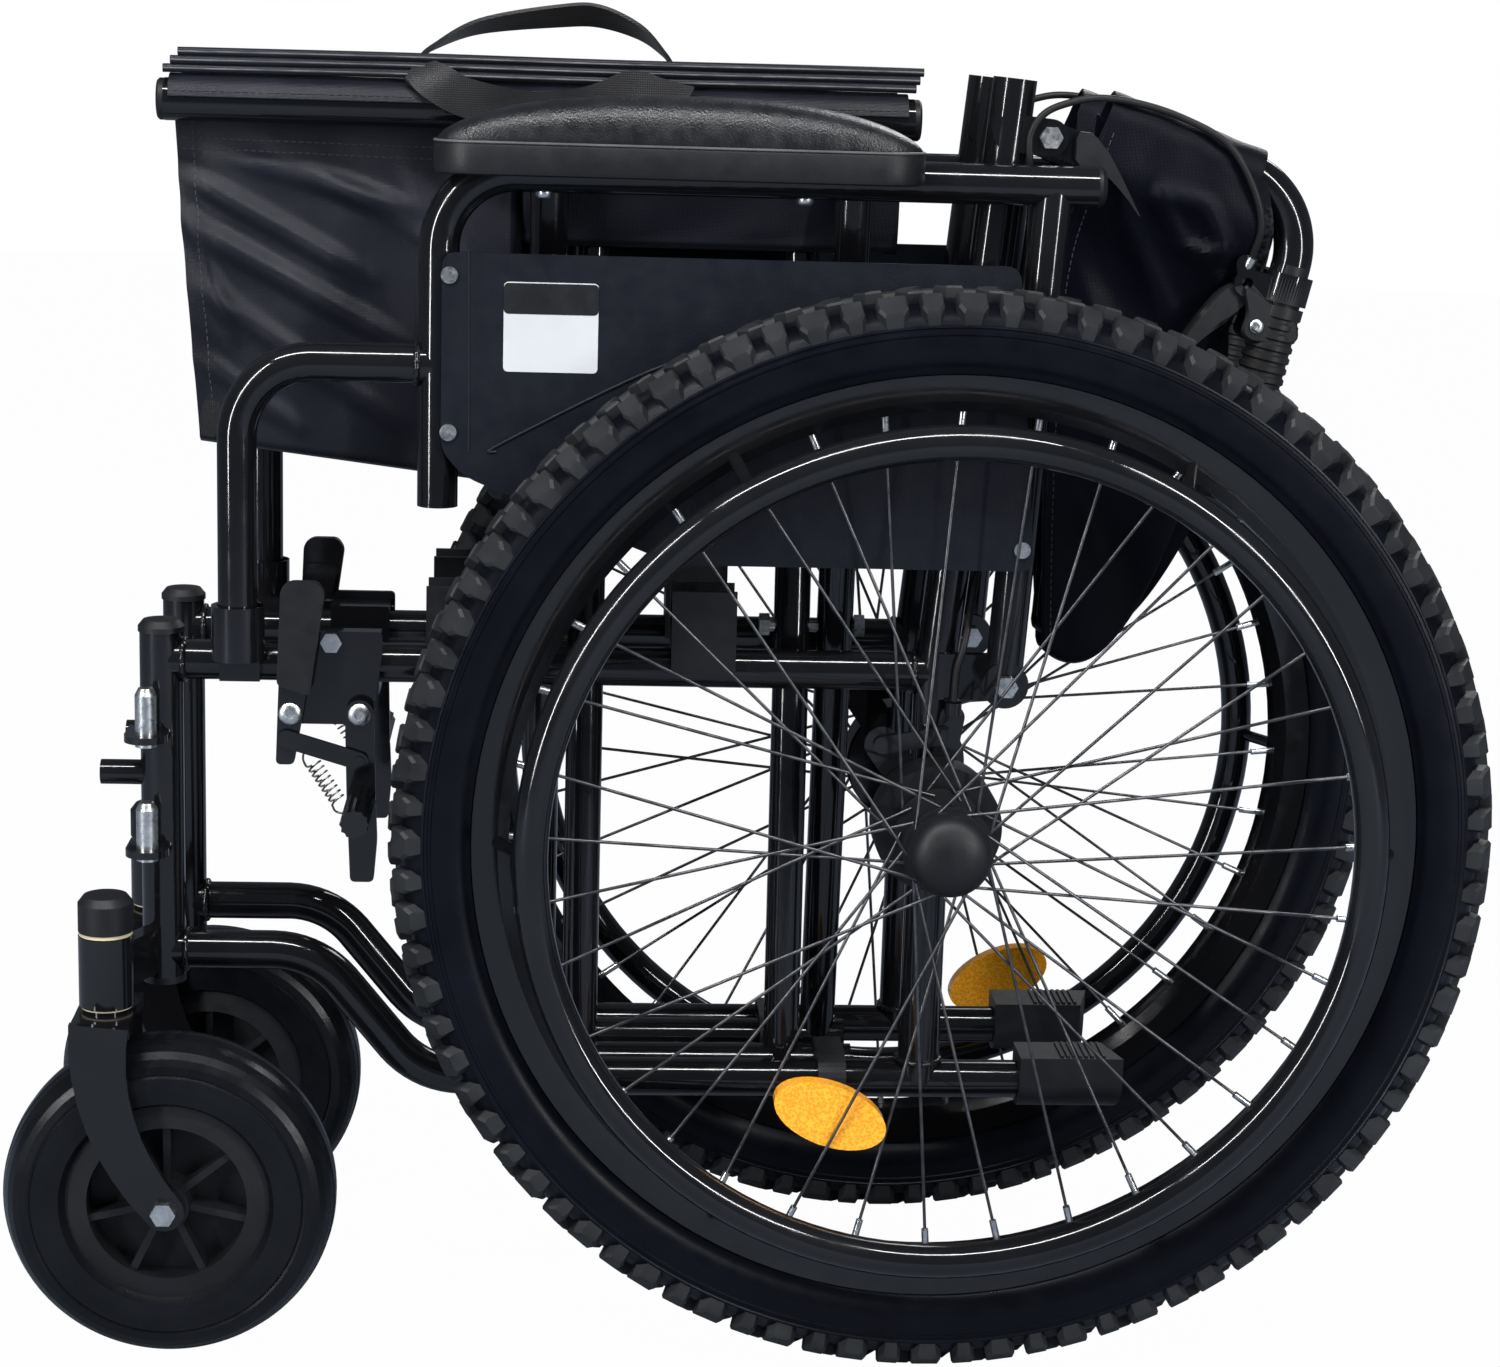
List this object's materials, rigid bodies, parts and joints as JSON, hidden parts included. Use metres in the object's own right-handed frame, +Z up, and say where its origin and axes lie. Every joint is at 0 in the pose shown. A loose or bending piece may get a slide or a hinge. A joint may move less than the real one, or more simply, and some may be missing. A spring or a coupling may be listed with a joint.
{
  "type": "all terrain wheelchair",
  "caption": "Folding manual wheelchair with wide knobbly tyres, cross brace, cloth seat, flip-back armrests and folding back, shown folded.",
  "frame": {"origin": "floor point under the middle of the folded chair's box", "axes": "+X forward as the user sits, +Y to the user's left, +Z up"},
  "size_m": [0.82, 0.349, 0.7482],
  "materials": {
    "frame_paint": "gloss",
    "black_plastic": "matte",
    "zinc": "satin",
    "tyre_rubber": "matte",
    "soft_rubber": "matte",
    "amber_lens": "gloss",
    "pad_vinyl": "satin",
    "skirt_panel": "matte",
    "nylon": "satin"
  },
  "bodies": {
    "frame_left": {"frame_left": "frame_paint", "tube_caps_left": "black_plastic", "rail_blocks_left": "black_plastic", "frame_hardware_left": "zinc", "hub_brake_left": "frame_paint", "parking_brake_left": "frame_paint", "brake_cable_left": "soft_rubber", "back_sling": "nylon"},
    "frame_right": {"frame_right": "frame_paint", "tube_caps_right": "black_plastic", "rail_blocks_right": "black_plastic", "frame_hardware_right": "zinc", "hub_brake_right": "frame_paint", "parking_brake_right": "frame_paint", "brake_cable_right": "soft_rubber"},
    "brace_a": {"brace_a": "frame_paint"},
    "brace_b": {"brace_b": "frame_paint", "seat_sling": "nylon"},
    "wheel_left": {"tyre_left": "tyre_rubber", "rim_left": "frame_paint", "spokes_left": "zinc", "hub_left": "black_plastic", "handrim_left": "frame_paint", "reflector_left": "amber_lens"},
    "caster_left": {"caster_fork_left": "frame_paint", "caster_hardware_left": "zinc"},
    "caster_wheel_left": {"caster_tyre_left": "tyre_rubber", "caster_rim_left": "black_plastic"},
    "armrest_left": {"armrest_left": "frame_paint", "arm_pad_left": "pad_vinyl", "skirt_guard_left": "skirt_panel", "armrest_fittings_left": "zinc"},
    "cane_left": {"upper_cane_left": "frame_paint", "hand_grip_left": "soft_rubber"},
    "brake_lever_left": {"brake_lever_left": "black_plastic"},
    "brake_arm_left": {"brake_arm_left": "zinc"},
    "parking_lever_left": {"parking_lever_left": "black_plastic"},
    "parking_shoe_left": {"parking_shoe_left": "frame_paint", "brake_spring_left": "zinc"},
    "wheel_right": {"tyre_right": "tyre_rubber", "rim_right": "frame_paint", "spokes_right": "zinc", "hub_right": "black_plastic", "handrim_right": "frame_paint", "reflector_right": "amber_lens"},
    "caster_right": {"caster_fork_right": "frame_paint", "caster_hardware_right": "zinc"},
    "caster_wheel_right": {"caster_tyre_right": "tyre_rubber", "caster_rim_right": "black_plastic"},
    "armrest_right": {"armrest_right": "frame_paint", "arm_pad_right": "pad_vinyl", "skirt_guard_right": "skirt_panel", "armrest_fittings_right": "zinc"},
    "cane_right": {"upper_cane_right": "frame_paint", "hand_grip_right": "soft_rubber"},
    "brake_lever_right": {"brake_lever_right": "black_plastic"},
    "brake_arm_right": {"brake_arm_right": "zinc"},
    "parking_lever_right": {"parking_lever_right": "black_plastic"},
    "parking_shoe_right": {"parking_shoe_right": "frame_paint", "brake_spring_right": "zinc"}
  },
  "joints": [
    {"name": "fold", "type": "hinge", "parent": "frame_left", "child": "brace_a", "pos_m": [0, 0.023, 0.143], "axis": [1, 0, 0], "range_deg": [0, 54.28], "deforming": ["seat_sling", "back_sling"]},
    {"name": "brace_cross", "type": "hinge", "parent": "brace_a", "child": "brace_b", "pos_m": [0, 0, 0.40111], "axis": [1, 0, 0], "range_deg": [-108.56, 0]},
    {"name": "fold_right", "type": "hinge", "parent": "brace_b", "child": "frame_right", "pos_m": [0, -0.023, 0.143], "axis": [1, 0, 0], "range_deg": [0, 54.28]},
    {"name": "wheel_left", "type": "hinge", "parent": "frame_left", "child": "wheel_left", "pos_m": [-0.106, 0.119, 0.304], "axis": [0, 1, 0], "continuous": true},
    {"name": "caster_swivel_left", "type": "hinge", "parent": "frame_left", "child": "caster_left", "pos_m": [0.352, 0.102, 0.21], "axis": [0, 0, 1], "continuous": true},
    {"name": "caster_wheel_left", "type": "hinge", "parent": "caster_left", "child": "caster_wheel_left", "pos_m": [0.318, 0.102, 0.092], "axis": [0, 1, 0], "continuous": true},
    {"name": "armrest_flip_left", "type": "hinge", "parent": "frame_left", "child": "armrest_left", "pos_m": [-0.141, 0.076, 0.385], "axis": [0, -1, 0], "range_deg": [0, 90]},
    {"name": "cane_left", "type": "hinge", "parent": "frame_left", "child": "cane_left", "pos_m": [-0.1553, 0.05, 0.6841], "axis": [0, 1, 0], "range_deg": [0, 104], "deforming": ["brake_cable_left", "back_sling"]},
    {"name": "brake_lever_left", "type": "hinge", "parent": "cane_left", "child": "brake_lever_left", "pos_m": [-0.2689, 0.05, 0.6083], "axis": [0, 1, 0], "range_deg": [0, 25], "stiffness_Nm_per_rad": 0.8, "springref_deg": -17.19},
    {"name": "brake_arm_left", "type": "hinge", "parent": "frame_left", "child": "brake_arm_left", "pos_m": [-0.076, 0.0677, 0.346], "axis": [0, 1, 0], "range_deg": [0, 10]},
    {"name": "parking_lever_left", "type": "hinge", "parent": "frame_left", "child": "parking_lever_left", "pos_m": [0.254, 0.067, 0.36], "axis": [0, -1, 0], "range_deg": [0, 40]},
    {"name": "parking_shoe_left", "type": "hinge", "parent": "frame_left", "child": "parking_shoe_left", "pos_m": [0.216, 0.067, 0.36], "axis": [0, 1, 0], "range_deg": [0, 8.8], "deforming": ["brake_spring_left"]},
    {"name": "wheel_right", "type": "hinge", "parent": "frame_right", "child": "wheel_right", "pos_m": [-0.106, -0.119, 0.304], "axis": [0, 1, 0], "continuous": true},
    {"name": "caster_swivel_right", "type": "hinge", "parent": "frame_right", "child": "caster_right", "pos_m": [0.352, -0.102, 0.21], "axis": [0, 0, 1], "continuous": true},
    {"name": "caster_wheel_right", "type": "hinge", "parent": "caster_right", "child": "caster_wheel_right", "pos_m": [0.318, -0.102, 0.092], "axis": [0, 1, 0], "continuous": true},
    {"name": "armrest_flip_right", "type": "hinge", "parent": "frame_right", "child": "armrest_right", "pos_m": [-0.141, -0.076, 0.385], "axis": [0, -1, 0], "range_deg": [0, 90]},
    {"name": "cane_right", "type": "hinge", "parent": "frame_right", "child": "cane_right", "pos_m": [-0.1553, -0.05, 0.6841], "axis": [0, 1, 0], "range_deg": [0, 104], "deforming": ["brake_cable_right"]},
    {"name": "brake_lever_right", "type": "hinge", "parent": "cane_right", "child": "brake_lever_right", "pos_m": [-0.2689, -0.05, 0.6083], "axis": [0, 1, 0], "range_deg": [0, 25], "stiffness_Nm_per_rad": 0.8, "springref_deg": -17.19},
    {"name": "brake_arm_right", "type": "hinge", "parent": "frame_right", "child": "brake_arm_right", "pos_m": [-0.076, -0.0677, 0.346], "axis": [0, 1, 0], "range_deg": [0, 10]},
    {"name": "parking_lever_right", "type": "hinge", "parent": "frame_right", "child": "parking_lever_right", "pos_m": [0.254, -0.067, 0.36], "axis": [0, -1, 0], "range_deg": [0, 40]},
    {"name": "parking_shoe_right", "type": "hinge", "parent": "frame_right", "child": "parking_shoe_right", "pos_m": [0.216, -0.067, 0.36], "axis": [0, 1, 0], "range_deg": [0, 8.8], "deforming": ["brake_spring_right"]}
  ],
  "couplings": [
    {"joint": "brace_cross", "follows": "fold", "ratio": -2},
    {"joint": "fold_right", "follows": "fold", "ratio": 1},
    {"joint": "cane_right", "follows": "cane_left", "ratio": 1},
    {"joint": "brake_arm_left", "follows": "brake_lever_left", "ratio": 0.4},
    {"joint": "parking_shoe_left", "follows": "parking_lever_left", "ratio": 0.22},
    {"joint": "brake_arm_right", "follows": "brake_lever_right", "ratio": 0.4},
    {"joint": "parking_shoe_right", "follows": "parking_lever_right", "ratio": 0.22}
  ]
}
